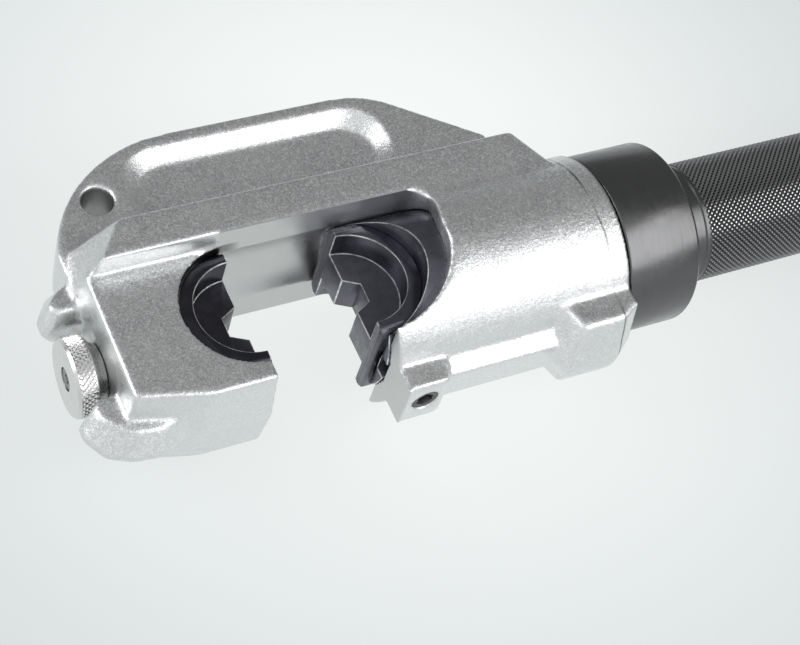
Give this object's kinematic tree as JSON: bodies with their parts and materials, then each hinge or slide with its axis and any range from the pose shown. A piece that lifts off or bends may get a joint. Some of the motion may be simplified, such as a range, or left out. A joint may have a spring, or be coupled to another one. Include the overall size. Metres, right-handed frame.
{
  "type": "hydraulic crimping tool",
  "caption": "Hydraulic C-head crimper: a ram drives U dies together in an open forged head, with a pull-knob die lock, a knurled grip and a hose coupler.",
  "frame": {"origin": "middle of the crimping nest, on the flat face of the fixed die", "axes": "+X along the ram's axis from the fixed die back to the grip and hose coupler; +Y into the closed side of the C, so the throat opens towards -Y; +Z square to the plane of the C, up, with the tool lying on its side"},
  "size_m": [0.3616, 0.1149, 0.062],
  "materials": {
    "plated_steel": "zinc plated forging, satin with a fine grain, bright edges",
    "bright_knob_steel": "nickel plated, knurled rim, turned face",
    "socket_screw_steel": "plain steel screws with hexagon sockets",
    "spring_steel": "bare spring wire",
    "black_oxide": "blued tool steel, bright on worn edges",
    "collar_black": "satin black turned steel",
    "grip_black": "black steel tube with diamond knurl",
    "hardened_steel": "ground steel",
    "coupler_steel": "zinc plated turned steel",
    "seal_rubber": "black nitrile rubber",
    "backup_plastic": "white PTFE",
    "washer_metal": "copper sealing washer"
  },
  "bodies": {
    "head": {"c_head": "plated_steel", "fixed_die": "black_oxide", "guide_screw": "socket_screw_steel", "swivel_ring": "spring_steel", "lock_spring": "spring_steel"},
    "die_lock": {"lock_pin": "hardened_steel", "lock_knob": "bright_knob_steel", "knob_screw": "socket_screw_steel"},
    "ram": {"ram": "black_oxide", "moving_die": "black_oxide", "piston_seal": "seal_rubber", "seal_backup_ring": "backup_plastic", "die_ball": "hardened_steel", "die_ball_spring": "spring_steel", "tail_rod": "hardened_steel", "spring_seat": "hardened_steel", "rod_nut": "hardened_steel"},
    "handle": {"cylinder_cap": "collar_black", "cap_o_ring": "seal_rubber", "cap_backup_ring": "backup_plastic", "tube_o_ring": "seal_rubber", "grip_tube": "grip_black", "rear_plug": "grip_black", "plug_o_ring": "seal_rubber", "return_spring": "spring_steel", "sealing_washer": "washer_metal", "coupler_body": "coupler_steel", "poppet_guide": "hardened_steel", "poppet_spring": "spring_steel"},
    "poppet": {"coupler_poppet": "hardened_steel"}
  },
  "joints": [
    {"name": "ram_slide", "type": "slide", "parent": "head", "child": "ram", "axis": [-1, 0, 0], "range_m": [0, 0.0352], "stiffness_N_per_m": 15000, "springref_m": -0.005, "deforming": ["return_spring"]},
    {"name": "head_swivel", "type": "hinge", "parent": "head", "child": "handle", "pos_m": [0.117, 0, 0], "axis": [1, 0, 0], "continuous": true},
    {"name": "die_lock_slide", "type": "slide", "parent": "head", "child": "die_lock", "axis": [-1, 0, 0], "range_m": [0, 0.006], "stiffness_N_per_m": 3000, "springref_m": -0.003, "deforming": ["lock_spring"]},
    {"name": "poppet_slide", "type": "slide", "parent": "handle", "child": "poppet", "axis": [-1, 0, 0], "range_m": [0, 0.003], "stiffness_N_per_m": 2000, "springref_m": -0.003, "deforming": ["poppet_spring"]}
  ]
}
